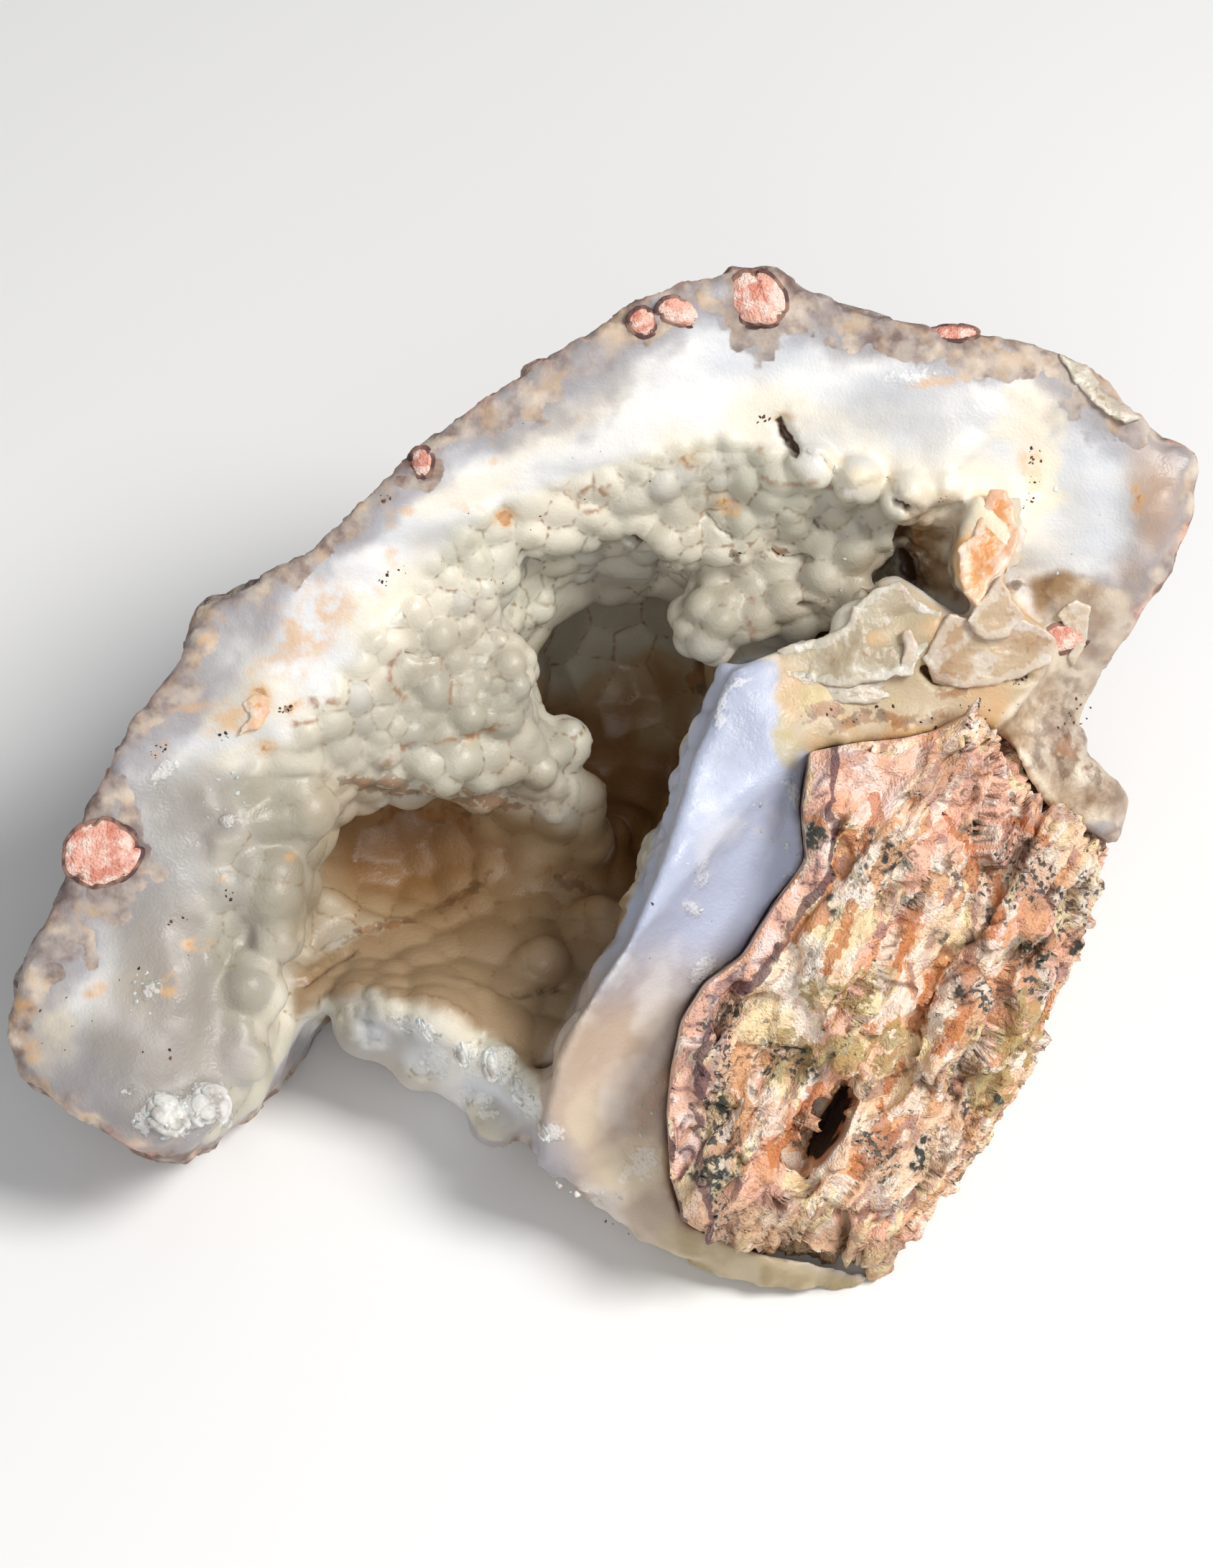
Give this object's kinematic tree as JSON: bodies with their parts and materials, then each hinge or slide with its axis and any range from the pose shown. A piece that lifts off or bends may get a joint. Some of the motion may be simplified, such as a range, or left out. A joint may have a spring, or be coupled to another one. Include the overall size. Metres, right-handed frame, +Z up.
{
  "type": "raw chalcedony specimen",
  "caption": "Broken piece of a chalcedony geode: an arched translucent wall around a grape-lined hollow, with pink platy rhyolite host rock on one side.",
  "frame": {"origin": "centre of the bounding box's footprint, on the surface that the stone rests on", "axes": "+Z up, +X to the right along the broken face, the broken face looks up and towards -Y"},
  "size_m": [0.1198, 0.0918, 0.0723],
  "materials": {
    "chalcedony": "waxy, translucent white to blue-grey, with ochre stains in the creases of the hollow",
    "rhyolite": "matt, rough, platy, pink and cream with dark specks"
  },
  "bodies": {
    "root": {"chalcedony": "chalcedony", "rhyolite_matrix": "rhyolite"}
  },
  "joints": []
}
